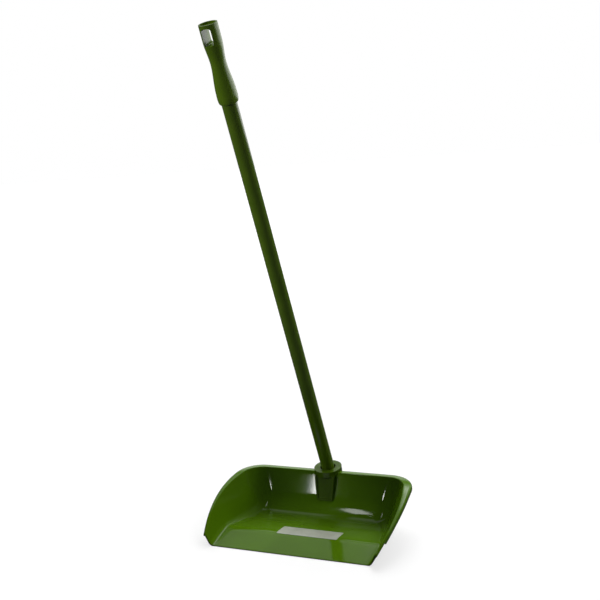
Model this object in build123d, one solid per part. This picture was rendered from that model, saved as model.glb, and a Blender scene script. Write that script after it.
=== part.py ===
from build123d import *
import os
from math import cos, radians, sin, sqrt, tan

# Long-handled dustpan, in millimetres.
# X runs across the mouth, Y from the mouth to the back, Z up. The origin is on the
# ground, midway across the pan, under the level strip of floor that it stands on.

# Pan shell
LIP_WIDTH = 262.0           # outside width at the front edge, at ground level
BACK_WIDTH = 214.0          # outside width at the foot of the back wall, across its sharp corners
SIDE_BOW = 6.7              # how far each side bows out between the two
ORIGIN_TO_FOOT = 38.0       # from the origin back to the foot of the back wall
FLOOR_DEPTH = 148.0         # from the front edge to the foot of the back wall
RIM_HEIGHT = 65.0           # top of the rim at the back
FRONT_WALL_HEIGHT = 17.5    # height of the side walls at the front edge
ARC_OVERRUN = 25.0          # from the foot of the back wall to where the side arc levels out
WALL = 2.2
DRAFT = 17.0                # lean of the back wall, outwards, in degrees
SIDE_DRAFT = 26.5           # lean of the side walls
CORNER_RADIUS = 20.0        # rear corners, outside, at ground level
RIM_CORNER_RADIUS = 37.0    # the same at the height of the rim
COVE_RADIUS = 37.0          # inside, between floor and back wall
COVE_OVERRUN = 0.1          # how far the cove runs past tangency with the back wall

# Front ramp
NOSE_THICKNESS = 1.2
RAMP_LENGTH = 50.0
RAMP_HEIGHT = 9.4           # inside surface of the ramp's crest
LEVEL_STRIP = 15.0          # level floor between the ramp's back slope and the cove
CREST_ROUND = 60.0          # on the underside
TROUGH_ROUND = 30.0         # on the underside

# Rim: a flange that widens from the front edge to the back, with a skirt round it
FLANGE_FRONT_WIDTH = 1.2    # from the outside of the wall
FLANGE_SIDE_WIDTH = 12.0    # level with the foot of the back wall
FLANGE_BACK_WIDTH = 9.5
FLANGE_CORNER_RADIUS = 43.0
FLANGE_THICKNESS = 2.2
SKIRT_SETBACK = 22.0        # from the front edge to where the skirt starts
SKIRT_DEPTH = 7.0
SKIRT_THICKNESS = 1.8

# Notch in the back wall for the socket that saddles it
NOTCH_WIDTH = 24.0
NOTCH_FLOOR_HEIGHT = 52.0
SADDLE_CLEARANCE = 0.25

# Socket: collar over the rim, pad inside the wall, barrel outside it
COLLAR_SETBACK = 7.1        # from the back wall's outside, at the rim, to the middle of the collar
COLLAR_PROUD = 5.4          # middle of the collar's top face, above the rim
HANDLE_LEAN = 20.2          # towards the mouth, in degrees
SOCKET_BORE = 25.0
SOCKET_WALL = 3.0
SOCKET_FLOOR = 3.0
SOCKET_DRAIN = 8.0
COLLAR_DIAMETER = 45.0
COLLAR_HEIGHT = 9.0
COLLAR_LEAN = 6.0
PAD_TOP_WIDTH = 34.0        # at rim height
PAD_FOOT_WIDTH = 27.0
PAD_FOOT_HEIGHT = 22.0
PAD_FOOT_STANDOFF = 2.5     # from the wall to the face of the pad, at its foot
PAD_THICKNESS = 3.5
PAD_LEAN = 10.0             # backwards, in degrees
WEB_THICKNESS = 5.0
WEB_FOOT_HEIGHT = 28.0

# Handle
TUBE_DIAMETER = 20.2
TUBE_WALL = 0.5
SLEEVE_THICKNESS = 0.4
HANDLE_REACH = 625.0        # from the collar's top face to the foot of the grip
FERRULE_LENGTH = 45.0
FERRULE_SINK = 8.0          # from the collar's top face down to the ferrule's rim
FERRULE_CLEARANCE = 0.3     # radial, in the socket
FERRULE_FLOOR = 3.0
FERRULE_EDGE = 1.2

# Grip
GRIP_LENGTH = 104.0
GRIP_HEAD_DIAMETER = 25.4
GRIP_WAIST_DIAMETER = 20.6
GRIP_PALM_DIAMETER = 27.2
GRIP_FOOT_DIAMETER = 24.6
GRIP_HEAD_LENGTH = 22.0     # from the top, straight
GRIP_WAIST_BELOW_TOP = 50.0
GRIP_PALM_BELOW_TOP = 88.0
GRIP_FOOT_SLOPE = 0.4       # how fast the outline draws in at the foot
GRIP_EDGE = 1.5
TUBE_IN_GRIP = 38.0
SLOT_WIDTH = 13.5
SLOT_LENGTH = 22.0
SLOT_BELOW_TOP = 4.5
SLOT_CORNER = 3.5
DISH_DIAMETER = 18.0
DISH_DEPTH = 1.6

# Blank label on the floor, over the back of the crest
LABEL_WIDTH = 100.0
LABEL_LENGTH = 30.0         # from front to back
LABEL_THICKNESS = 0.2
LABEL_GLUE = 0.1            # between the label and the floor
LABEL_SETBACK = 48.0        # from the front edge
LABEL_OFF_CENTRE = 10.0

FAR = 400.0                 # well clear of the pan, for cutting shapes

lean_out = tan(radians(DRAFT))
side_lean = tan(radians(SIDE_DRAFT))
wall_across = WALL / cos(radians(DRAFT))
foot_y = ORIGIN_TO_FOOT
front_y = foot_y - FLOOR_DEPTH
middle_y = (front_y + foot_y) / 2
level_y = foot_y + ARC_OVERRUN
crest_y = front_y + RAMP_LENGTH
collar_z = RIM_HEIGHT + COLLAR_PROUD
ceiling = collar_z + COLLAR_HEIGHT

# Half widths along the pan, outside and at ground level
half_widths = {
    front_y: LIP_WIDTH / 2,
    middle_y: (LIP_WIDTH + BACK_WIDTH) / 4 + SIDE_BOW,
    foot_y: BACK_WIDTH / 2,
}

# The rim's line, seen from the side, is an arc that levels out at the back.
rim_rise = RIM_HEIGHT - FRONT_WALL_HEIGHT
rim_radius = ((level_y - front_y) ** 2 + rim_rise ** 2) / (2 * rim_rise)


def back_wall_y(z):
    """Outside of the back wall at height z."""
    return foot_y + z * lean_out


def across_x(face):
    """Prism along X from a shape drawn as (y, z)."""
    return extrude(Plane.YZ * face, amount=FAR, both=True)


def along_y(face):
    """Prism along Y from a shape drawn as (x, z)."""
    return extrude(Plane.XZ * face, amount=FAR, both=True)


def rim_z(y, drop=0):
    """Height of the rim's arc at y, set down by drop."""
    return RIM_HEIGHT - rim_radius + sqrt((rim_radius - drop) ** 2 - (level_y - y) ** 2)


def bowed_plan(side, back, corner):
    """A plan shape with a straight back, rounded corners and sides on arcs through three points."""
    arc = ThreePointArc(*side)
    margin = FLOOR_DEPTH / 10
    depth = back - front_y + margin
    plan = Pos(0, back) * Rectangle(FAR * 2, depth, align=(Align.CENTER, Align.MAX))
    for way in (1, -1):
        plan &= Pos(way * arc.arc_center.X, arc.arc_center.Y) * Circle(arc.radius)
    rear_corners = plan.vertices().group_by(Axis.Y)[-1]
    return fillet(rear_corners, corner)


def wall_plan(outset, z):
    """The walls' outline at height z, set out from their outside."""
    across = outset / cos(radians(SIDE_DRAFT)) + z * side_lean
    back = back_wall_y(z) + outset / cos(radians(DRAFT))
    corner = CORNER_RADIUS + (RIM_CORNER_RADIUS - CORNER_RADIUS) * z / RIM_HEIGHT
    return bowed_plan([(half + across, y) for y, half in half_widths.items()], back, corner + outset)


def tub(outset):
    """The pan's walls as a solid block, set out from their outside and flaring upwards."""
    return loft([wall_plan(outset, 0), Pos(0, 0, ceiling) * wall_plan(outset, ceiling)], ruled=True)


def flange_block(inset):
    """An upright block inside the outer edge of the rim's flange, set in from it."""
    side = []
    for y, half in half_widths.items():
        widening = ((y - front_y) / FLOOR_DEPTH) ** 2
        flange = FLANGE_FRONT_WIDTH + (FLANGE_SIDE_WIDTH - FLANGE_FRONT_WIDTH) * widening
        side.append((half + rim_z(y) * side_lean + flange - inset, y))
    back = back_wall_y(RIM_HEIGHT) + FLANGE_BACK_WIDTH - inset
    return extrude(bowed_plan(side, back, FLANGE_CORNER_RADIUS - inset), amount=ceiling)


def cove_circle(lift):
    """Centre and radius of the cove of a floor line lifted off the pan's underside."""
    radius = COVE_RADIUS + WALL - lift
    centre_z = lift + radius
    wall_at_centre = back_wall_y(centre_z) - lift / cos(radians(DRAFT))
    centre_y = wall_at_centre - radius / cos(radians(DRAFT)) + COVE_OVERRUN
    return centre_y, centre_z, radius


def above_floor(lift, front_lift):
    """Everything above the floor line: ramp, crest, trough and the cove at the back."""
    centre_y, centre_z, radius = cove_circle(lift)
    crest = (crest_y, RAMP_HEIGHT - WALL + lift)
    trough = (centre_y - LEVEL_STRIP, lift)
    start = Polyline((front_y, ceiling), (front_y, front_lift), crest, trough, (centre_y, lift))
    cove = CenterArc((centre_y, centre_z), radius, -90, 90 - DRAFT)
    end = cove @ 1
    finish = Polyline((end.X, end.Y), (FAR, end.Y), (FAR, ceiling), (front_y, ceiling))
    region = make_face(start + cove + finish)
    for point, bend in ((crest, CREST_ROUND + lift), (trough, TROUGH_ROUND - lift)):
        corner = region.vertices().sort_by_distance((point[0], point[1], 0))[0]
        region = fillet(corner, bend)
    return across_x(region)


def below_rim(drop):
    """Everything below the rim's line, seen from the side, set down by drop."""
    front = (front_y, rim_z(front_y, drop))
    top = RIM_HEIGHT - drop
    arc = ThreePointArc(front, (middle_y, rim_z(middle_y, drop)), (level_y, top))
    rest = Polyline((level_y, top), (FAR, top), (FAR, -FAR), (front_y, -FAR), front)
    return across_x(make_face(arc + rest))


def shell_space(outset):
    """The space inside the walls and above the floor, set out from their outside."""
    nose = -outset / WALL * NOSE_THICKNESS
    return tub(outset) & above_floor(-outset, nose)


def inside_wall_y(z):
    """Inside of the back wall at height z, down into its cove."""
    centre_y, centre_z, radius = cove_circle(WALL)
    wall_foot_z = centre_z - radius * sin(radians(DRAFT))
    if z > wall_foot_z:
        return back_wall_y(z) - wall_across
    return centre_y + sqrt(radius ** 2 - (centre_z - z) ** 2)


def leaning_plane(lean):
    """Axes at the middle of the collar's top face, with Z leaning towards the mouth."""
    tilt = radians(lean)
    return Plane(
        origin=(0, back_wall_y(RIM_HEIGHT) + COLLAR_SETBACK, collar_z),
        x_dir=(1, 0, 0),
        z_dir=(0, -sin(tilt), cos(tilt)),
    )


def rod(diameter, bottom, top):
    """A cylinder on the Z axis between two heights."""
    return Pos(0, 0, bottom) * Cylinder(
        diameter / 2, top - bottom, align=(Align.CENTER, Align.CENTER, Align.MIN)
    )


handle_axis = leaning_plane(HANDLE_LEAN)
collar_axis = leaning_plane(COLLAR_LEAN)
sleeve_diameter = TUBE_DIAMETER + 2 * SLEEVE_THICKNESS
socket_diameter = SOCKET_BORE + 2 * SOCKET_WALL
ferrule_bottom = -FERRULE_SINK - FERRULE_LENGTH
socket_bottom = ferrule_bottom - SOCKET_FLOOR
tube_bottom = ferrule_bottom + FERRULE_FLOOR
grip_bottom = HANDLE_REACH
grip_top = grip_bottom + GRIP_LENGTH
tube_top = grip_bottom + TUBE_IN_GRIP


def make_pan():
    cavity = shell_space(-WALL)
    shell = (shell_space(0) - cavity) & below_rim(0)

    flange = flange_block(0) & (below_rim(0) - below_rim(FLANGE_THICKNESS))
    skirt_ring = flange_block(0) - flange_block(SKIRT_THICKNESS)
    skirt = skirt_ring & (below_rim(0) - below_rim(SKIRT_DEPTH))
    skirt = skirt & Pos(0, front_y + SKIRT_SETBACK + FAR, 0) * Box(2 * FAR, 2 * FAR, 2 * FAR)
    pan = shell + ((flange + skirt) - cavity)

    # The collar sits in the rim, and the socket's neck drops into the notch below it.
    gap = 2 * SADDLE_CLEARANCE
    seat = rod(COLLAR_DIAMETER + gap, -COLLAR_HEIGHT - SADDLE_CLEARANCE, FAR)
    pan -= collar_axis * seat
    pan -= handle_axis * rod(socket_diameter + gap, socket_bottom, 0)
    notch = Box(NOTCH_WIDTH, FAR, RIM_HEIGHT, align=(Align.CENTER, Align.MIN, Align.MIN))
    pan -= Pos(0, 0, NOTCH_FLOOR_HEIGHT) * notch
    return pan


def make_socket():
    barrel = handle_axis * rod(socket_diameter, socket_bottom, 0)
    collar = collar_axis * rod(COLLAR_DIAMETER, -COLLAR_HEIGHT, 0)
    under_collar = collar_axis * Pos(0, 0, -COLLAR_HEIGHT) * Box(
        2 * FAR, 2 * FAR, 2 * FAR, align=(Align.CENTER, Align.CENTER, Align.MAX)
    )
    before_axis = handle_axis * Pos(0, -FAR, 0) * Box(2 * FAR, 2 * FAR, 2 * FAR)

    # The pad is a tongue whose foot presses on the inside of the back wall.
    pad_slope = (PAD_TOP_WIDTH - PAD_FOOT_WIDTH) / (RIM_HEIGHT - PAD_FOOT_HEIGHT)
    top_z = collar_z
    top_half = PAD_FOOT_WIDTH / 2 + (top_z - PAD_FOOT_HEIGHT) * pad_slope / 2
    foot_half = PAD_FOOT_WIDTH / 2
    front = Polygon((-foot_half, PAD_FOOT_HEIGHT), (foot_half, PAD_FOOT_HEIGHT), (top_half, top_z),
                    (-top_half, top_z), align=None)
    face_y = inside_wall_y(PAD_FOOT_HEIGHT) - PAD_FOOT_STANDOFF
    top_y = face_y + (top_z - PAD_FOOT_HEIGHT) * tan(radians(PAD_LEAN))
    depth = PAD_THICKNESS / cos(radians(PAD_LEAN))
    side = Polygon((face_y, PAD_FOOT_HEIGHT), (face_y + depth, PAD_FOOT_HEIGHT), (top_y + depth, top_z),
                   (top_y, top_z), align=None)
    behind_face = Polygon((face_y, PAD_FOOT_HEIGHT), (FAR, PAD_FOOT_HEIGHT), (FAR, top_z), (top_y, top_z),
                          align=None)
    pad = along_y(front) & across_x(side) & shell_space(-WALL - SADDLE_CLEARANCE)

    # The neck joins pad and barrel through the notch, and a web backs the wall below it.
    neck_floor = NOTCH_FLOOR_HEIGHT + SADDLE_CLEARANCE
    neck = Pos(0, 0, neck_floor) * Box(
        NOTCH_WIDTH - 2 * SADDLE_CLEARANCE, 2 * FAR, collar_z - neck_floor,
        align=(Align.CENTER, Align.CENTER, Align.MIN)
    )
    neck = neck & across_x(behind_face) & before_axis
    web = Pos(0, 0, WEB_FOOT_HEIGHT) * Box(
        WEB_THICKNESS, FAR, collar_z - WEB_FOOT_HEIGHT,
        align=(Align.CENTER, Align.MIN, Align.MIN)
    )
    web = (web & before_axis) - shell_space(SADDLE_CLEARANCE)

    bore = handle_axis * rod(SOCKET_BORE, ferrule_bottom, FAR)
    drain = handle_axis * rod(SOCKET_DRAIN, socket_bottom - SOCKET_FLOOR, 0)
    socket = ((pad + neck + web + barrel) & under_collar) + collar
    return socket - bore - drain


def make_ferrule():
    diameter = SOCKET_BORE - 2 * FERRULE_CLEARANCE
    cup = rod(diameter, ferrule_bottom, -FERRULE_SINK)
    rims = cup.edges().filter_by(GeomType.CIRCLE)
    cup = chamfer(rims, FERRULE_EDGE)
    return handle_axis * (cup - rod(sleeve_diameter, tube_bottom, 0))


def make_tube():
    outside = rod(TUBE_DIAMETER, tube_bottom, tube_top)
    return handle_axis * (outside - rod(TUBE_DIAMETER - 2 * TUBE_WALL, tube_bottom, tube_top))


def make_sleeve():
    outside = rod(sleeve_diameter, tube_bottom, tube_top)
    return handle_axis * (outside - rod(TUBE_DIAMETER, tube_bottom, tube_top))


def make_grip():
    top = grip_top
    head = GRIP_HEAD_DIAMETER / 2
    foot = GRIP_FOOT_DIAMETER / 2
    profile = Spline(
        (head, top - GRIP_HEAD_LENGTH),
        (GRIP_WAIST_DIAMETER / 2, top - GRIP_WAIST_BELOW_TOP),
        (GRIP_PALM_DIAMETER / 2, top - GRIP_PALM_BELOW_TOP),
        (foot, grip_bottom),
        tangents=[(0, -1), (-GRIP_FOOT_SLOPE, -1)],
    )
    outline = profile + Polyline(
        (foot, grip_bottom), (0, grip_bottom), (0, top), (head, top), (head, top - GRIP_HEAD_LENGTH)
    )
    grip = revolve(Plane.XZ * make_face(outline), Axis.Z)
    ends = grip.edges().filter_by(GeomType.CIRCLE).group_by(Axis.Z)
    grip = fillet(ends[-1] + ends[0], GRIP_EDGE)
    grip -= rod(sleeve_diameter, grip_bottom, tube_top)
    grip -= rod(DISH_DIAMETER, top - DISH_DEPTH, top)
    slot = RectangleRounded(SLOT_WIDTH, SLOT_LENGTH, SLOT_CORNER)
    slot_middle = top - SLOT_BELOW_TOP - SLOT_LENGTH / 2
    grip -= Pos(0, 0, slot_middle) * extrude(Plane.XZ * slot, amount=FAR, both=True)
    return handle_axis * grip


def make_label():
    underside = WALL + LABEL_GLUE
    skin = shell_space(-underside) - shell_space(-underside - LABEL_THICKNESS)
    patch = Pos(LABEL_OFF_CENTRE, front_y + LABEL_SETBACK, 0) * Box(
        LABEL_WIDTH, LABEL_LENGTH, 2 * RIM_HEIGHT, align=(Align.CENTER, Align.MIN, Align.CENTER)
    )
    return skin & patch


os.makedirs("parts", exist_ok=True)
pieces = {
    "pan": make_pan(),
    "handle_socket": make_socket(),
    "handle_ferrule": make_ferrule(),
    "handle_tube": make_tube(),
    "tube_sleeve": make_sleeve(),
    "hand_grip": make_grip(),
    "floor_label": make_label(),
}
for name, piece in pieces.items():
    export_step(piece, f"parts/{name}.step")
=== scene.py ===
from math import atan, cos, pi, radians, sin, sqrt, tan

import bmesh
import bpy
from mathutils import Matrix, Vector


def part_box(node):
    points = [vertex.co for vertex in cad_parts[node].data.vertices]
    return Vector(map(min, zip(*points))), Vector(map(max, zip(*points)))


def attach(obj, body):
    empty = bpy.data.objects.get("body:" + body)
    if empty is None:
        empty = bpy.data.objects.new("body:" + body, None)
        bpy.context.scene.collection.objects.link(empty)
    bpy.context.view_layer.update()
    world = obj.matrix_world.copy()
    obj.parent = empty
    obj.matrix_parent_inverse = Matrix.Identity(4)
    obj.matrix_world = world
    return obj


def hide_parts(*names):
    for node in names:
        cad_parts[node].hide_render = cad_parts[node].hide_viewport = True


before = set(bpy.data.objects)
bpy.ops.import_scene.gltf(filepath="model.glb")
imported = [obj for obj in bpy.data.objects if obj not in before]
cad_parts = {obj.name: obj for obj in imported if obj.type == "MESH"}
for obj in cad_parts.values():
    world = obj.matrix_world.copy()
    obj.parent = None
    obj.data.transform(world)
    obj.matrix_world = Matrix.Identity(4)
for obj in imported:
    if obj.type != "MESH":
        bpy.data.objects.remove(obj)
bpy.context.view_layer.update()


# Pan: the tray, one injection-moulded polypropylene shell. A ramp rises from the lip to a
# crest, the floor dips behind it and coves up into the back wall, and the leaning, bowed
# walls turn outwards at the top into a flange that rolls over into a short skirt.
MM = 0.001
pan_low, pan_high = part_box("pan")
front_y = pan_low[1]
rim_top = pan_high[2]
foot_y = front_y + 148.0 * MM       # foot of the back wall, outside
draft = radians(17.0)               # of the back wall
lean = tan(draft)
side_lean = tan(radians(26.5))
wall = 2.2 * MM
wall_across = wall / cos(draft)
wall_halves = (131.0 * MM, 125.7 * MM, 107.0 * MM)      # lip, middle and foot of the back wall
corner_low = 17.8 * MM              # inside radius of the rear corners, at the floor and at the rim
corner_high = 34.8 * MM
side_cove = 9.0 * MM
rear_cove = 20.0 * MM               # the side cove where it reaches the rear corners
back_cove = 37.0 * MM

nose = 1.2 * MM                     # top of the floor at the lip
crest_top = 9.4 * MM
crest_y = front_y + 50.0 * MM
trough_y = foot_y - 43.9 * MM
crest_reach = 9.2 * MM              # half the length of the rounding over the crest
trough_reach = 1.8 * MM

front_wall = 17.5 * MM              # height of the side walls at the lip
level_y = foot_y + 25.0 * MM        # where the rim's arc levels out
rim_rise = rim_top - front_wall
rim_radius = ((level_y - front_y) ** 2 + rim_rise ** 2) / (2 * rim_rise)

flange_halves = (140.7 * MM, 154.3 * MM, 150.6 * MM)    # outer edge, at the same places
flange_inside = 0.2 * MM            # from the back of the CAD box
flange_back = pan_high[1] - flange_inside
flange_corner = 43.0 * MM
skirt_deep = 6.8 * MM
skirt_least = 2.6 * MM
skirt_start = front_y + 21.0 * MM
skirt_full = front_y + 24.0 * MM
skirt_across = 1.8 * MM
inner_round = 1.6 * MM
roll_share = 0.28                   # radius of the rolled edge, as a share of the flange
least_roll = 0.3 * MM               # the least that stays of the roll, the flat beside it and
least_flat = 0.1 * MM               # the skirt below it, where the flange is narrow
least_drop = 0.2 * MM

notch_half = 14.5 * MM              # hidden under the collar
notch_floor = 52.0 * MM
edge_round = 0.45 * MM
sharp_angle = radians(50)
smooth_angle = radians(35)
weld = 0.01 * MM                    # corners closer than this become one

side_steps = 44
corner_steps = 22
back_steps = 58
floor_steps = 6
cove_steps = 12
wall_steps = 8
bend_steps = 5
flange_steps = 4
roll_steps = 8
skirt_steps = 3
rim_rounds = 8


def eased(x, reach):
    """0 before -reach, x after reach, and a parabola between them."""
    if abs(x) >= reach:
        return max(x, 0)
    return (x + reach) ** 2 / (4 * reach)


def share(x, start, end):
    """0 before start, 1 after end, and a smooth step between them."""
    t = min(max((x - start) / (end - start), 0), 1)
    return t * t * (3 - 2 * t)


def floor_z(y):
    """Top of the floor: ramp, crest, back slope and level strip."""
    rise = (crest_top - nose) / (crest_y - front_y)
    fall = (crest_top - wall) / (trough_y - crest_y)
    over_crest = (rise + fall) * eased(y - crest_y, crest_reach)
    return nose + rise * (y - front_y) - over_crest + fall * eased(y - trough_y, trough_reach)


def rim_z(y):
    """Top of the rim, an arc that levels out at the back."""
    ahead = max(level_y - y, 0)
    return rim_top - rim_radius + sqrt(rim_radius ** 2 - ahead ** 2)


def bowed(y, halves):
    """Half a width of the pan at y, on a curve through its three given ones."""
    t = (y - front_y) / (foot_y - front_y)
    front, middle, back = halves
    return front + (back - front) * t + (4 * middle - 2 * front - 2 * back) * t * (1 - t)


def widening(y, halves):
    """How much half a width grows for each unit of y, taken over the next millimetre."""
    return (bowed(y + MM, halves) - bowed(y, halves)) / MM


def corner_reach(angle, side, slope, back, radius):
    """How far out a rounded corner lies, from a point inside it.

    Its side stands at a distance from the point and slopes on to the back, and the angle
    turns from the side to the back.
    """
    along = sqrt(1 + slope ** 2)
    middle = Vector((side + slope * (back - radius) - radius * along, back - radius))
    way = Vector((cos(angle), sin(angle)))
    to_side = side / (way.x - slope * way.y)
    if to_side * way.y <= middle.y - slope * radius / along:
        return to_side
    to_back = back / way.y
    if to_back * way.x <= middle.x:
        return to_back
    ahead = middle.dot(way)
    return ahead + sqrt(ahead ** 2 - middle.length_squared + radius ** 2)


def run(start, end, steps):
    """Points along a straight line, without its end."""
    return [start.lerp(end, k / steps) for k in range(steps)]


def turn(centre, radius, start, end, steps):
    """Points along an arc, without its end."""
    angles = [start + (end - start) * k / steps for k in range(steps)]
    return [centre + radius * Vector((cos(a), sin(a))) for a in angles]


def section(station, inset):
    """One skin of the pan, from its floor over the rim to the foot of the skirt.

    Points are (distance out from the spine, height). The inside has an inset of 0, and
    the outside one of the wall.
    """
    place, facing, foot, slope, edge, cove = station
    tilt = atan(slope)
    up_wall = Vector((sin(tilt), cos(tilt)))
    level = floor_z(place.y)
    # The rim is higher further back, and a wall that leans back takes a higher rim further back.
    top = rim_top
    for _ in range(rim_rounds):
        top = rim_z(place.y + (foot + top * slope) * facing.y)
    roll = roll_share * (edge - foot - top * slope)
    skirt = skirt_least + (skirt_deep - skirt_least) * share(place.y, skirt_start, skirt_full)
    bend = inner_round / 2 if inset else inner_round
    bend_reach = bend * tan((pi / 2 - tilt) / 2)
    if inset:
        roll = max(roll - skirt_across, least_roll)

    cove_middle = Vector((foot + (level + cove) * slope - cove / cos(tilt), level + cove))
    inner = Vector((foot + inset / cos(tilt) + (top - inset) * slope, top - inset))
    outer = Vector((edge - (skirt_across if inset else 0), top - inset))
    outer.x = max(outer.x, inner.x + bend_reach + roll + least_flat)
    skirt_foot = Vector((outer.x, top - max(skirt, inset + roll + least_drop)))

    points = run(Vector((0, level - inset)), cove_middle - Vector((0, cove + inset)), floor_steps)
    points += turn(cove_middle, cove + inset, -pi / 2, -tilt, cove_steps)
    wall_foot = cove_middle + (cove + inset) * Vector((cos(tilt), -sin(tilt)))
    points += run(wall_foot, inner - up_wall * bend_reach, wall_steps)
    points += turn(inner + Vector((bend_reach, -bend)), bend, pi - tilt, pi / 2, bend_steps)
    points += run(inner + Vector((bend_reach, 0)), outer - Vector((roll, 0)), flange_steps)
    points += turn(outer - Vector((roll, roll)), roll, pi / 2, 0, roll_steps)
    points += run(outer - Vector((0, roll)), skirt_foot, skirt_steps) + [skirt_foot]
    return [Vector((out, max(z, 0))) for out, z in points]


# The spine runs along the floor inside the walls, round both rear corners. Each station on it
# looks out at the wall: how far off that stands at ground level, how much it leans, how far off
# the flange's edge is, and the radius of the cove between floor and wall.
side_foot = 26.0 * MM
back_foot = 28.0 * MM
spine_back = foot_y - wall_across - back_foot


def spine_x(y):
    return bowed(y, wall_halves) - wall / cos(atan(side_lean)) - side_foot


spine = []
for k in range(side_steps):
    y = front_y + (spine_back - front_y) * k / side_steps
    cove = side_cove + (rear_cove - side_cove) * share(y, crest_y, spine_back)
    spine.append((Vector((-spine_x(y), y)), Vector((-1, 0)), side_foot, side_lean,
                  bowed(y, flange_halves) - spine_x(y), cove))
turning = Vector((-spine_x(spine_back), spine_back))
wall_slope = widening(spine_back, wall_halves)
edge_slope = widening(spine_back, flange_halves)
for k in range(corner_steps):
    angle = pi / 2 * k / corner_steps
    low = corner_reach(angle, side_foot, wall_slope, back_foot, corner_low)
    high = corner_reach(angle, side_foot + side_lean * rim_top, wall_slope,
                        back_foot + lean * rim_top, corner_high)
    edge = corner_reach(angle, bowed(spine_back, flange_halves) + turning.x, edge_slope,
                        flange_back - spine_back, flange_corner)
    cove = rear_cove + (back_cove - rear_cove) * share(k, 0, corner_steps)
    spine.append((turning, Vector((-cos(angle), sin(angle))), low, (high - low) / rim_top, edge, cove))
for k in range(back_steps + 1):
    place = turning.lerp(Vector((-turning.x, turning.y)), k / back_steps)
    spine.append((place, Vector((0, 1)), back_foot, lean, flange_back - spine_back, back_cove))
for place, facing, *rest in reversed(spine[:side_steps + corner_steps]):
    spine.append((Vector((-place.x, place.y)), Vector((-facing.x, facing.y)), *rest))

skins = {}
for inset in (0, wall):
    skins[inset] = []
    for station in spine:
        place, facing = station[:2]
        points = section(station, inset)
        skins[inset].append([(place + facing * out).to_3d() + Vector((0, 0, z)) for out, z in points])


def pushed_out(bm, faces):
    """Extrudes faces, and gives the corners of the new ones."""
    pushed = bmesh.ops.extrude_face_region(bm, geom=faces, use_keep_orig=True)
    return [v for v in pushed["geom"] if isinstance(v, bmesh.types.BMVert)]


# One grid follows the spine from the floor's border to the skirt, and another fills the floor.
# Both are the inside of the shell, and a copy pushed out from them is its outside.
rows = len(spine) - 1
columns = len(skins[0][0]) - 1
bm = bmesh.new()
along = bm.verts.layers.int.new("along")
outward = bm.verts.layers.int.new("outward")
bmesh.ops.create_grid(bm, x_segments=rows, y_segments=columns, size=0.5)
for v in bm.verts:
    v[along] = round((v.co.x + 0.5) * rows)
    v[outward] = round((v.co.y + 0.5) * columns)
    v.co = skins[0][v[along]][v[outward]]
walls_end = len(bm.verts)
bmesh.ops.create_grid(bm, x_segments=back_steps, y_segments=side_steps, size=0.5)
bm.verts.ensure_lookup_table()
for v in bm.verts[walls_end:]:
    v[along] = round((v.co.x + 0.5) * back_steps)
    v[outward] = -1 - round((v.co.y + 0.5) * side_steps)
    y = skins[0][-1 - v[outward]][0].y
    v.co = (spine_x(y) * (2 * v[along] / back_steps - 1), y, floor_z(y))
bmesh.ops.remove_doubles(bm, verts=bm.verts, dist=weld)
notch = [f for f in bm.faces if abs(f.calc_center_median().x) < notch_half
         and f.calc_center_median().z > notch_floor]
bmesh.ops.delete(bm, geom=notch, context="FACES")
for v in pushed_out(bm, bm.faces[:]):
    if v[outward] < 0:
        v.co.z = max(v.co.z - wall, 0)
    else:
        v.co = skins[wall][v[along]][v[outward]]
bmesh.ops.recalc_face_normals(bm, faces=bm.faces)
sharp = [e for e in bm.edges if e.is_manifold and e.calc_face_angle() > sharp_angle]
bmesh.ops.bevel(bm, geom=sharp, offset=edge_round, offset_type="OFFSET", affect="EDGES", segments=2,
                profile=0.5, material=-1, clamp_overlap=True)


def finished(name, bm, material):
    """A smooth-shaded object at the origin, with its place in its mesh."""
    mesh = bpy.data.meshes.new(name)
    bm.to_mesh(mesh)
    bm.free()
    mesh.shade_smooth()
    mesh.set_sharp_from_angle(angle=smooth_angle)
    mesh.materials.append(material)
    piece = bpy.data.objects.new(name, mesh)
    bpy.context.scene.collection.objects.link(piece)
    return piece


def colour(code):
    """Linear RGBA from an sRGB hex code."""
    parts = [int(code[k:k + 2], 16) / 255 for k in (1, 3, 5)]
    return [p / 12.92 if p <= 0.04045 else ((p + 0.055) / 1.055) ** 2.4 for p in parts] + [1]


def add_node(tree, kind, inputs=None, **settings):
    """A node with its settings, and its inputs given as values or as sockets to link."""
    node = tree.nodes.new(kind)
    for name, value in settings.items():
        setattr(node, name, value)
    for name, value in (inputs or {}).items():
        if isinstance(value, bpy.types.NodeSocket):
            tree.links.new(value, node.inputs[name])
        else:
            node.inputs[name].default_value = value
    return node


def new_material(name):
    """A material's tree, its Principled shader and its Object coordinates."""
    material = bpy.data.materials.new(name)
    material.use_nodes = True
    tree = material.node_tree
    place = add_node(tree, "ShaderNodeTexCoord").outputs["Object"]
    return material, tree, tree.nodes["Principled BSDF"], place


# Moulded polypropylene: polished mould walls give a wet-looking gloss, broken by a faint orange
# peel that is drawn coarse enough to show, and the melt's flow leaves slow clouds in the green.
# Sweeping has dulled the floor behind the crest, and that fades out at the crest and up the walls.
swept_rough = 0.2
swept_fades = (("Y", crest_y, crest_y + 12 * MM), ("Y", trough_y + 32 * MM, trough_y + 22 * MM),
               ("Z", crest_top + 8 * MM, crest_top))

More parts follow.
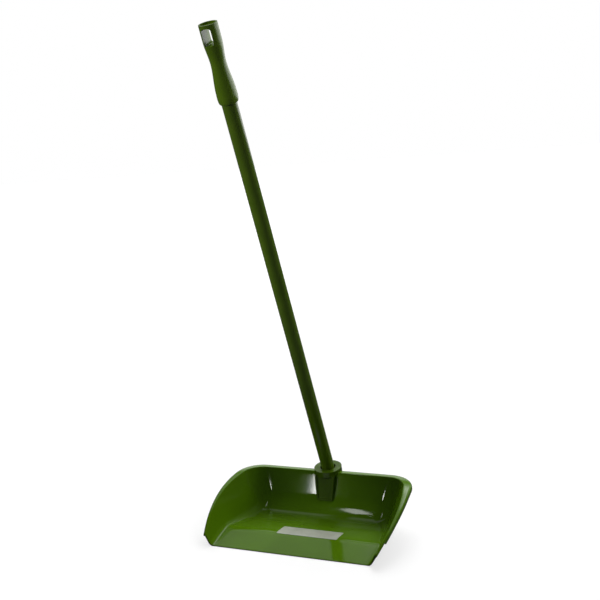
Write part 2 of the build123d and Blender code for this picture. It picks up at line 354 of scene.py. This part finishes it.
pan_plastic, tree, shader, place = new_material("moulded_polypropylene")
clouds = add_node(tree, "ShaderNodeTexNoise", {"Vector": place, "Scale": 1 / (70 * MM), "Detail": 3})
tint = add_node(tree, "ShaderNodeValToRGB", {"Fac": clouds.outputs["Fac"]})
for stop, position, code in zip(tint.color_ramp.elements, (0.3, 0.7), ("#456606", "#4B6F07")):
    stop.position = position
    stop.color = colour(code)
peel = add_node(tree, "ShaderNodeTexNoise", {"Vector": place, "Scale": 1 / (4 * MM), "Detail": 2})
gloss = add_node(tree, "ShaderNodeMapRange", {"Value": clouds.outputs["Fac"], "To Min": 0.04,
                                              "To Max": 0.08})
axes = add_node(tree, "ShaderNodeSeparateXYZ", {"Vector": place}).outputs
rough = swept_rough
for axis, none, full in swept_fades:
    swept = add_node(tree, "ShaderNodeMapRange", {"Value": axes[axis], "From Min": none, "From Max": full},
                     interpolation_type="SMOOTHSTEP")
    rough = add_node(tree, "ShaderNodeMath", {0: rough, 1: swept.outputs["Result"]},
                     operation="MULTIPLY").outputs["Value"]
rough = add_node(tree, "ShaderNodeMath", {0: rough, 1: gloss.outputs["Result"]}, operation="ADD")
relief = add_node(tree, "ShaderNodeBump", {"Height": peel.outputs["Fac"], "Strength": 0.05,
                                           "Distance": 0.2 * MM})
tree.links.new(tint.outputs["Color"], shader.inputs["Base Color"])
tree.links.new(rough.outputs["Value"], shader.inputs["Roughness"])
tree.links.new(relief.outputs["Normal"], shader.inputs["Normal"])
shader.inputs["IOR"].default_value = 1.49

pan = finished("pan_shell", bm, pan_plastic)
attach(pan, "pan")
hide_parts("pan")


# Label: a blank polyester film stuck to the floor over the back of the crest, pressed down so
# that it follows the floor's curve, with rounded corners.
label_low, label_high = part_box("floor_label")
label_size = [high - low for low, high in zip(label_low, label_high)]
label_middle = [(high + low) / 2 for low, high in zip(label_low, label_high)]
label_lift = 0.1 * MM
label_thick = 0.2 * MM
label_corner = 2.0 * MM
label_strip = 1.5 * MM              # between the lines on which it bends

bm = bmesh.new()
bmesh.ops.create_grid(bm, x_segments=1, y_segments=1, size=0.5)
bmesh.ops.scale(bm, vec=(label_size[0], label_size[1], 1), verts=bm.verts)
bmesh.ops.translate(bm, vec=(label_middle[0], label_middle[1], 0), verts=bm.verts)
bmesh.ops.bevel(bm, geom=bm.verts[:], offset=label_corner, offset_type="OFFSET", affect="VERTICES",
                segments=5, profile=0.5, material=-1)
for k in range(1, int(label_size[1] / label_strip)):
    bmesh.ops.bisect_plane(bm, geom=bm.verts[:] + bm.edges[:] + bm.faces[:],
                           plane_co=(0, label_low[1] + k * label_strip, 0), plane_no=(0, 1, 0))
for v in bm.verts:
    v.co.z = floor_z(v.co.y) + label_lift
bmesh.ops.translate(bm, vec=(0, 0, label_thick), verts=pushed_out(bm, bm.faces[:]))
bmesh.ops.recalc_face_normals(bm, faces=bm.faces)

# Polyester film: smooth and pale with a satin sheen, and a slight ripple where it was smoothed on.
label_film, tree, shader, place = new_material("polyester_label_film")
ripple = add_node(tree, "ShaderNodeTexNoise", {"Vector": place, "Scale": 1 / (12 * MM), "Detail": 2})
tint = add_node(tree, "ShaderNodeValToRGB", {"Fac": ripple.outputs["Fac"]})
for stop, position, code in zip(tint.color_ramp.elements, (0.3, 0.7), ("#939789", "#A0A498")):
    stop.position = position
    stop.color = colour(code)
relief = add_node(tree, "ShaderNodeBump", {"Height": ripple.outputs["Fac"], "Strength": 0.1,
                                           "Distance": 0.2 * MM})
tree.links.new(tint.outputs["Color"], shader.inputs["Base Color"])
tree.links.new(relief.outputs["Normal"], shader.inputs["Normal"])
shader.inputs["Roughness"].default_value = 0.3

label = finished("label_film", bm, label_film)
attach(label, "pan")
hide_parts("floor_label")


# Socket: a separate polypropylene moulding that saddles the back wall. Its collar lies in the
# rim, a tapered tongue hangs inside the wall, and a neck through the notch joins them to the
# barrel behind the wall, which takes the end of the handle.
collar_behind = 7.1 * MM            # the wall's outside, at the height of the rim
collar_above = 5.4 * MM             # the rim
collar_lean = radians(6.0)
collar_radius = 22.5 * MM
collar_high = 9.0 * MM
handle_lean = radians(20.2)
bore_radius = 12.5 * MM
barrel_wall = 2.95 * MM
barrel_radius = bore_radius + barrel_wall
barrel_floor = 3.0 * MM
ferrule_long = 45.0 * MM
ferrule_top = -8.0 * MM             # along the handle, from the collar's top face
ferrule_bottom = ferrule_top - ferrule_long
barrel_bottom = ferrule_bottom - barrel_floor
drain_radius = 4.0 * MM
tongue_foot = 22.0 * MM
tongue_top = 61.5 * MM
tongue_foot_half = 13.5 * MM
tongue_widening = 3.5 / 43.0        # on each side, for each unit of height
tongue_lean = tan(radians(10.0))
tongue_thick = 3.5 * MM
tongue_standoff = 2.5 * MM
tongue_border = 2.6 * MM
tongue_recess = 1.6 * MM
neck_half = 11.75 * MM
neck_floor = 52.25 * MM
neck_top = 66.0 * MM
web_half = 2.5 * MM
web_foot = 28.0 * MM
web_top = rim_top - collar_high / 2
web_clearance = 0.25 * MM
socket_round = 0.7 * MM
overcut = 2.2 * MM                  # how far a cutter reaches past what it cuts
round_steps = 96


def rod(radius, bottom, top, stand):
    """A closed cylinder along the Z axis of a matrix."""
    bm = bmesh.new()
    middle = Matrix.Translation((0, 0, (bottom + top) / 2))
    bmesh.ops.create_cone(bm, cap_ends=True, segments=round_steps, radius1=radius, radius2=radius,
                          depth=top - bottom, matrix=stand @ middle)
    return bm


def slab(outline, half):
    """A plate across the pan, from an outline drawn as (y, z)."""
    bm = bmesh.new()
    face = bm.faces.new([bm.verts.new((-half, y, z)) for y, z in outline])
    bmesh.ops.translate(bm, vec=(2 * half, 0, 0), verts=pushed_out(bm, [face]))
    bmesh.ops.recalc_face_normals(bm, faces=bm.faces)
    return bm


def combined(first, others):
    """One closed mesh: the first shape with others added ("UNION") or taken out ("DIFFERENCE")."""
    tools = []
    for shape in [first] + [shape for shape, _ in others]:
        mesh = bpy.data.meshes.new("tool")
        shape.to_mesh(mesh)
        shape.free()
        tools.append(bpy.data.objects.new("tool", mesh))
        bpy.context.scene.collection.objects.link(tools[-1])
    for tool, (_, operation) in zip(tools[1:], others):
        joined = tools[0].modifiers.new("joined", "BOOLEAN")
        joined.operation = operation
        joined.solver = "EXACT"
        joined.object = tool
    bpy.context.view_layer.update()
    result = tools[0].evaluated_get(bpy.context.evaluated_depsgraph_get())
    bm = bmesh.new()
    bm.from_mesh(result.to_mesh())
    result.to_mesh_clear()
    for tool in tools:
        bpy.data.meshes.remove(tool.data)
    bmesh.ops.remove_doubles(bm, verts=bm.verts, dist=weld)
    bmesh.ops.dissolve_degenerate(bm, edges=bm.edges, dist=weld)
    return bm


def rounded_edges(piece, width, steps):
    """Rounds every sharp edge of a piece, with the flat faces beside it kept flat."""
    bevel = piece.modifiers.new("rounded edges", "BEVEL")
    bevel.width = width
    bevel.segments = steps
    bevel.limit_method = "ANGLE"
    bevel.angle_limit = smooth_angle
    bevel.use_clamp_overlap = True
    flat = piece.modifiers.new("flat faces", "WEIGHTED_NORMAL")
    flat.weight = 100


def wall_outside(z):
    return foot_y + z * lean


collar_middle = Vector((0, wall_outside(rim_top) + collar_behind, rim_top + collar_above))
collar_frame = Matrix.Translation(collar_middle) @ Matrix.Rotation(collar_lean, 4, "X")
handle_frame = Matrix.Translation(collar_middle) @ Matrix.Rotation(handle_lean, 4, "X")
cove_z = wall + back_cove
cove_y = wall_outside(cove_z) - wall_across - back_cove / cos(draft)
tongue_face = cove_y + sqrt(back_cove ** 2 - (cove_z - tongue_foot) ** 2) - tongue_standoff
tongue_depth = tongue_thick * sqrt(1 + tongue_lean ** 2)


def axis_y(z):
    """The handle's axis at height z."""
    return collar_middle.y + (collar_middle.z - z) * tan(handle_lean)


def tongue_y(z):
    """The tongue's face at height z."""
    return tongue_face + (z - tongue_foot) * tongue_lean


def tongue_plate(foot, front, back, half):
    """A plate that leans and widens with the tongue, between two depths from its face."""
    bm = slab([(tongue_y(foot) + front, foot), (tongue_y(tongue_top) + front, tongue_top),
               (tongue_y(tongue_top) + back, tongue_top), (tongue_y(foot) + back, foot)], half)
    for v in bm.verts:
        v.co.x *= 1 + tongue_widening * (v.co.z - tongue_foot) / tongue_foot_half
    return bm


recess = tongue_plate(tongue_foot + tongue_border, -overcut, tongue_recess,
                      tongue_foot_half - tongue_border)
tongue = combined(tongue_plate(tongue_foot, 0, tongue_depth, tongue_foot_half),
                  [(recess, "DIFFERENCE")])
neck = slab([(tongue_y(neck_floor) + tongue_depth / 2, neck_floor), (axis_y(neck_floor), neck_floor),
             (axis_y(neck_top), neck_top), (tongue_y(neck_top) + tongue_depth / 2, neck_top)],
            neck_half)
web = slab([(wall_outside(web_foot) + web_clearance, web_foot), (axis_y(web_foot), web_foot),
            (axis_y(web_top), web_top), (wall_outside(web_top) + web_clearance, web_top)], web_half)
bm = combined(rod(collar_radius, -collar_high, 0, collar_frame), [
    (rod(barrel_radius, barrel_bottom, ferrule_top / 2, handle_frame), "UNION"),
    (tongue, "UNION"),
    (neck, "UNION"),
    (web, "UNION"),
    (rod(bore_radius, ferrule_bottom, collar_high * 2, handle_frame), "DIFFERENCE"),
    (rod(drain_radius, barrel_bottom - overcut, 0, handle_frame), "DIFFERENCE"),
])

# Moulded polypropylene of a duller, darker green than the pan, with a satin mould finish whose
# grain is drawn coarse enough to show.
socket_plastic, tree, shader, place = new_material("satin_polypropylene")
clouds = add_node(tree, "ShaderNodeTexNoise", {"Vector": place, "Scale": 1 / (25 * MM), "Detail": 3})
tint = add_node(tree, "ShaderNodeValToRGB", {"Fac": clouds.outputs["Fac"]})
for stop, position, code in zip(tint.color_ramp.elements, (0.3, 0.7), ("#364E07", "#3E5709")):
    stop.position = position
    stop.color = colour(code)
peel = add_node(tree, "ShaderNodeTexNoise", {"Vector": place, "Scale": 1 / (2 * MM), "Detail": 2})
relief = add_node(tree, "ShaderNodeBump", {"Height": peel.outputs["Fac"], "Strength": 0.08,
                                           "Distance": 0.2 * MM})
tree.links.new(tint.outputs["Color"], shader.inputs["Base Color"])
tree.links.new(relief.outputs["Normal"], shader.inputs["Normal"])
shader.inputs["Roughness"].default_value = 0.18
shader.inputs["IOR"].default_value = 1.49

socket = finished("handle_socket_moulding", bm, socket_plastic)
rounded_edges(socket, socket_round, 3)
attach(socket, "pan")
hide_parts("handle_socket")


# Ferrule: a moulded polypropylene cup pushed onto the lower end of the tube. It fills the
# socket's bore, and its snug fit there holds the handle until it is pulled out.
sleeve_radius = 10.5 * MM
ferrule_radius = 12.2 * MM
ferrule_floor = 3.0 * MM
tube_bottom = ferrule_bottom + ferrule_floor
ferrule_round = 0.7 * MM

bm = combined(rod(ferrule_radius, ferrule_bottom, ferrule_top, handle_frame), [
    (rod(sleeve_radius, tube_bottom, 0, handle_frame), "DIFFERENCE"),
])

# Polypropylene with a matt finish, coloured nearly black: painted shade for the inside of the socket's
# bore.
ferrule_painted_shade, tree, shader, place = new_material("matt_polypropylene_painted_shade")
grit = add_node(tree, "ShaderNodeTexNoise", {"Vector": place, "Scale": 1 / (3 * MM), "Detail": 3})
tint = add_node(tree, "ShaderNodeValToRGB", {"Fac": grit.outputs["Fac"]})
# Painted shade: these near-black greens stand in for the shade inside the bore where the ferrule sits.
for stop, position, code in zip(tint.color_ramp.elements, (0.3, 0.7), ("#1C2408", "#252E0C")):
    stop.position = position
    stop.color = colour(code)
tree.links.new(tint.outputs["Color"], shader.inputs["Base Color"])
shader.inputs["Roughness"].default_value = 0.5

ferrule = finished("tube_ferrule", bm, ferrule_painted_shade)
rounded_edges(ferrule, ferrule_round, 3)
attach(ferrule, "handle")
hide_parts("handle_ferrule")


# Tube: thin drawn steel, the handle's core. It is hidden by the sleeve, so it keeps its
# plain solid, with the fine lengthwise draw marks of the mill.
tube_steel, tree, shader, place = new_material("drawn_steel")
turned = add_node(tree, "ShaderNodeMapping", {"Vector": place, "Rotation": (-handle_lean, 0, 0),
                                              "Scale": (1, 1, 0.02)})
marks = add_node(tree, "ShaderNodeTexNoise", {"Vector": turned.outputs["Vector"],
                                              "Scale": 1 / (0.8 * MM)})
dull = add_node(tree, "ShaderNodeMapRange", {"Value": marks.outputs["Fac"], "To Min": 0.25,
                                             "To Max": 0.45})
tree.links.new(dull.outputs["Result"], shader.inputs["Roughness"])
shader.inputs["Base Color"].default_value = colour("#BDBEBC")
shader.inputs["Metallic"].default_value = 1.0
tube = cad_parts["handle_tube"]
tube.data.materials.clear()
tube.data.materials.append(tube_steel)


# Sleeve: a thin glossy coat of extruded polyethylene, shrunk over the whole tube from the
# ferrule up into the grip, which leaves slow waves along it.
sleeve_top = 663.0 * MM
sleeve_thick = 0.4 * MM

bm = combined(rod(sleeve_radius, tube_bottom, sleeve_top, handle_frame), [
    (rod(sleeve_radius - sleeve_thick, tube_bottom - overcut, sleeve_top + overcut, handle_frame),
     "DIFFERENCE"),
])

# Extruded polyethylene: glossy, with long waves that make its reflections swim a little.
sleeve_plastic, tree, shader, place = new_material("extruded_polyethylene")
turned = add_node(tree, "ShaderNodeMapping", {"Vector": place, "Rotation": (-handle_lean, 0, 0),
                                              "Scale": (1, 1, 0.12)})
waves = add_node(tree, "ShaderNodeTexNoise", {"Vector": turned.outputs["Vector"], "Scale": 1 / (9 * MM),
                                              "Detail": 2})
tint = add_node(tree, "ShaderNodeValToRGB", {"Fac": waves.outputs["Fac"]})
for stop, position, code in zip(tint.color_ramp.elements, (0.3, 0.7), ("#3F570A", "#48600D")):
    stop.position = position
    stop.color = colour(code)
relief = add_node(tree, "ShaderNodeBump", {"Height": waves.outputs["Fac"], "Strength": 0.06,
                                           "Distance": 0.4 * MM})
tree.links.new(tint.outputs["Color"], shader.inputs["Base Color"])
tree.links.new(relief.outputs["Normal"], shader.inputs["Normal"])
shader.inputs["Roughness"].default_value = 0.2

sleeve = finished("tube_sleeve_film", bm, sleeve_plastic)
rounded_edges(sleeve, sleeve_thick / 4, 1)
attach(sleeve, "handle")
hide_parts("tube_sleeve")


# Grip: a waisted polypropylene moulding pushed onto the tube's upper end, with a dished top
# and a slot through its head to hang it by. The rows of its outline give a radius and a
# distance below the top in millimetres, and a slope.
grip_top = 728.4 * MM
grip_foot = 625.0 * MM
grip_outline = [(12.45, 22.0, 0.0), (10.3, 50.0, 0.0), (13.6, 88.0, 0.02), (12.3, 104.0, -0.4)]
head_radius = grip_outline[0][0] * MM
foot_radius = grip_outline[-1][0] * MM
outline_steps = 14
dish_radius = 10.6 * MM
dish_deep = 2.6 * MM
slot_half = 6.75 * MM
slot_long = 22.0 * MM
slot_below_top = 4.5 * MM
slot_corner = 3.5 * MM
slot_through = 80.0 * MM
grip_round = 0.9 * MM


def outline_point(upper, lower, t):
    """A place on the smooth curve between two rows of the outline."""
    (r0, s0, m0), (r1, s1, m1) = upper, lower
    length = s1 - s0
    radius = ((1 + 2 * t) * (1 - t) ** 2 * r0 + t * (1 - t) ** 2 * length * m0
              + t * t * (3 - 2 * t) * r1 + t * t * (t - 1) * length * m1)
    return Vector((radius * MM, grip_top - (s0 + t * length) * MM))


profile = [Vector((0, grip_top - dish_deep)), Vector((dish_radius, grip_top - dish_deep)),
           Vector((dish_radius, grip_top)), Vector((head_radius, grip_top))]
for upper, lower in zip(grip_outline, grip_outline[1:]):
    profile += [outline_point(upper, lower, k / outline_steps) for k in range(outline_steps)]
profile += [Vector((foot_radius, grip_foot)), Vector((sleeve_radius, grip_foot)),
            Vector((sleeve_radius, sleeve_top)), Vector((0, sleeve_top))]
body = bmesh.new()
chain = [body.verts.new((r, 0, z)) for r, z in profile]
edges = [body.edges.new(pair) for pair in zip(chain, chain[1:])]
bmesh.ops.spin(body, geom=chain + edges, cent=(0, 0, 0), axis=(0, 0, 1), angle=2 * pi,
               steps=round_steps, use_merge=True)
bmesh.ops.remove_doubles(body, verts=body.verts, dist=weld)
bmesh.ops.recalc_face_normals(body, faces=body.faces)
bmesh.ops.transform(body, matrix=handle_frame, verts=body.verts)

slot = bmesh.new()
bmesh.ops.create_cube(slot, size=1)
bmesh.ops.scale(slot, vec=(2 * slot_half, slot_through, slot_long), verts=slot.verts)
lengthwise = [e for e in slot.edges if abs((e.verts[0].co - e.verts[1].co).y) > slot_through / 2]
bmesh.ops.bevel(slot, geom=lengthwise, offset=slot_corner, offset_type="OFFSET", affect="EDGES",
                segments=8, profile=0.5, material=-1)
slot_middle = Matrix.Translation((0, 0, grip_top - slot_below_top - slot_long / 2))
bmesh.ops.transform(slot, matrix=handle_frame @ slot_middle, verts=slot.verts)
bm = combined(body, [(slot, "DIFFERENCE")])

# Moulded polypropylene with a soft gloss, handled smooth, in a slightly lighter green than the
# tube. Its peel is drawn coarse enough to show.
grip_plastic, tree, shader, place = new_material("soft_gloss_polypropylene")
clouds = add_node(tree, "ShaderNodeTexNoise", {"Vector": place, "Scale": 1 / (30 * MM), "Detail": 3})
tint = add_node(tree, "ShaderNodeValToRGB", {"Fac": clouds.outputs["Fac"]})
for stop, position, code in zip(tint.color_ramp.elements, (0.3, 0.7), ("#4A6607", "#536F0A")):
    stop.position = position
    stop.color = colour(code)
peel = add_node(tree, "ShaderNodeTexNoise", {"Vector": place, "Scale": 1 / (2 * MM), "Detail": 2})
relief = add_node(tree, "ShaderNodeBump", {"Height": peel.outputs["Fac"], "Strength": 0.06,
                                           "Distance": 0.2 * MM})
tree.links.new(tint.outputs["Color"], shader.inputs["Base Color"])
tree.links.new(relief.outputs["Normal"], shader.inputs["Normal"])
shader.inputs["Roughness"].default_value = 0.25
shader.inputs["IOR"].default_value = 1.49

grip = finished("hand_grip_moulding", bm, grip_plastic)
rounded_edges(grip, grip_round, 4)
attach(grip, "handle")
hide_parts("hand_grip")


# Studio floor: a wide sheet that the pan stands on, a dull grey to the object and its reflections.
# The camera sees it raised to white, less what the object's own shadow takes.
floor_half = 12.0
near_fill = 0.66
far_fill = 0.80
fill_reach = 2.6
grey_to_object = 0.06
grey_to_camera = 0.30

bm = bmesh.new()
bmesh.ops.create_grid(bm, x_segments=1, y_segments=1, size=floor_half)
floor_paper, tree, shader, place = new_material("grey_paper")
away = add_node(tree, "ShaderNodeVectorMath", {0: place}, operation="LENGTH")
fill = add_node(tree, "ShaderNodeMapRange", {"Value": away.outputs["Value"], "From Max": fill_reach,
                                             "To Min": near_fill, "To Max": far_fill},
                interpolation_type="SMOOTHSTEP")
seen = add_node(tree, "ShaderNodeLightPath").outputs["Is Camera Ray"]
paper = add_node(tree, "ShaderNodeMapRange", {"Value": seen, "To Min": grey_to_object,
                                              "To Max": grey_to_camera})
lift = add_node(tree, "ShaderNodeMath", {0: seen, 1: fill.outputs["Result"]}, operation="MULTIPLY")
tree.links.new(paper.outputs["Result"], shader.inputs["Base Color"])
tree.links.new(lift.outputs["Value"], shader.inputs["Emission Strength"])
shader.inputs["Emission Color"].default_value = (1, 1, 1, 1)
shader.inputs["Roughness"].default_value = 0.9
shader.inputs["Specular IOR Level"].default_value = 0.0
floor = finished("studio_floor", bm, floor_paper)


# Studio light: a dark room with a soft key from behind and one from the right, and two soft spots
# from the front, all of them kept out of reflections. What the gloss mirrors is pale panels of the
# backdrop, a long lamp overhead, a small one at the front and a panel that only the handle sees.
room_glow = 0.02
panel_soft = 0.04                   # half the width of a panel's blurred edge
# A panel's row gives its strength, and its limits in X, Y and Z as parts of a direction.
backdrop = [
    (1.2, (-0.6, -0.15), (0.6, 1.2), (0.30, 0.44)),
    (2.4, (-0.30, -0.2), (0.5, 0.8), (0.55, 0.80)),
    (0.45, (-1.2, 0.05), (0.25, 1.2), (0.50, 1.2)),
    (1.0, (0.02, 0.45), (0.7, 1.0), (0.36, 0.55)),
]
# A lamp's row gives its name, kind, place, aim and power, and its other settings.
lamps = [
    ("back_key", "SUN", (-0.4, 1.6, 1.05), (0, 0, 0), 4.7, {"angle": 0.9}),
    ("right_key", "SUN", (1.4, 0.55, 1.35), (0, 0, 0), 1.5, {"angle": 0.9}),
    ("pan_spot", "SPOT", (-0.9, -1.0, 0.9), (0.01, 0.045, 0.03), 32.0,
     {"spot_size": radians(7.5), "spot_blend": 1, "shadow_soft_size": 0.05}),
    ("handle_spot", "SPOT", (-1.0, -1.4, 0.9), (0, -0.1, 0.5), 95.0,
     {"spot_size": radians(28), "spot_blend": 1, "shadow_soft_size": 0.2}),
    ("right_panel", "AREA", (0.68, 0.68, 0.84), (0, -0.1, 0.65), 6.8,
     {"shape": "RECTANGLE", "size": 1.8, "size_y": 0.5}),
    ("strip_lamp", "AREA", (-0.44, -0.36, 1.3), (-0.44, -0.36, 0), 0.9,
     {"shape": "ELLIPSE", "size": 0.085, "size_y": 0.75}),
    ("front_lamp", "AREA", (-0.825, -1.87, 0.36), (0, 0.05, 0.045), 0.3,
     {"shape": "RECTANGLE", "size": 0.04, "size_y": 0.085}),
]
mirrored = ("right_panel", "strip_lamp", "front_lamp")
handle_only = ("handle_spot", "right_panel")
strip_turn = radians(-10)

world = bpy.data.worlds.new("studio")
bpy.context.scene.world = world
world.use_nodes = True
tree = world.node_tree
tree.nodes.clear()
way = add_node(tree, "ShaderNodeTexCoord").outputs["Generated"]
axes = add_node(tree, "ShaderNodeSeparateXYZ", {"Vector": way}).outputs
glow = room_glow
for strength, *sides in backdrop:
    panel = strength
    for axis, (low, high) in zip(axes, sides):
        for dark, bright in ((low - panel_soft, low + panel_soft), (high + panel_soft, high - panel_soft)):
            edge = add_node(tree, "ShaderNodeMapRange", {"Value": axis, "From Min": dark,
                                                         "From Max": bright},
                            interpolation_type="SMOOTHSTEP")
            panel = add_node(tree, "ShaderNodeMath", {0: panel, 1: edge.outputs["Result"]},
                             operation="MULTIPLY").outputs["Value"]
    glow = add_node(tree, "ShaderNodeMath", {0: glow, 1: panel}, operation="ADD").outputs["Value"]
lit = add_node(tree, "ShaderNodeBackground", {"Color": (1, 1, 1, 1), "Strength": glow})
white = add_node(tree, "ShaderNodeBackground", {"Color": (1, 1, 1, 1), "Strength": 1.0})
seen = add_node(tree, "ShaderNodeLightPath").outputs["Is Camera Ray"]
mixed = add_node(tree, "ShaderNodeMixShader", {0: seen, 1: lit.outputs["Background"],
                                               2: white.outputs["Background"]})
add_node(tree, "ShaderNodeOutputWorld", {"Surface": mixed.outputs["Shader"]})

handle_lit = bpy.data.collections.new("handle_lit")
for piece in (sleeve, grip):
    handle_lit.objects.link(piece)
for name, kind, spot, aim, power, settings in lamps:
    light = bpy.data.lights.new(name, kind)
    light.energy = power
    for setting, value in settings.items():
        setattr(light, setting, value)
    lamp = bpy.data.objects.new(name, light)
    lamp.location = spot
    lamp.rotation_euler = (Vector(spot) - Vector(aim)).to_track_quat("Z", "Y").to_euler()
    lamp.visible_glossy = name in mirrored
    lamp.visible_camera = False
    if name in handle_only:
        lamp.light_linking.receiver_collection = handle_lit
    bpy.context.scene.collection.objects.link(lamp)
bpy.data.objects["strip_lamp"].rotation_euler.z = strip_turn


# Camera: where the photograph was taken from, a little to the right of the mouth and above it,
# looking down at it and a little tipped.
camera_place = (0.5660, -1.2113, 0.6203)
camera_heading = radians(24.795)
camera_dip = radians(10.937)
camera_roll = radians(-5.064)

lens = bpy.data.cameras.new("camera")
lens.sensor_width = 36.0
lens.lens = 54.133
camera = bpy.data.objects.new("camera", lens)
camera_turn = (Matrix.Rotation(camera_heading, 4, "Z") @ Matrix.Rotation(pi / 2 - camera_dip, 4, "X")
               @ Matrix.Rotation(camera_roll, 4, "Z"))
camera.matrix_world = Matrix.Translation(camera_place) @ camera_turn
bpy.context.scene.collection.objects.link(camera)
bpy.context.scene.camera = camera
bpy.context.scene.view_settings.view_transform = "Standard"
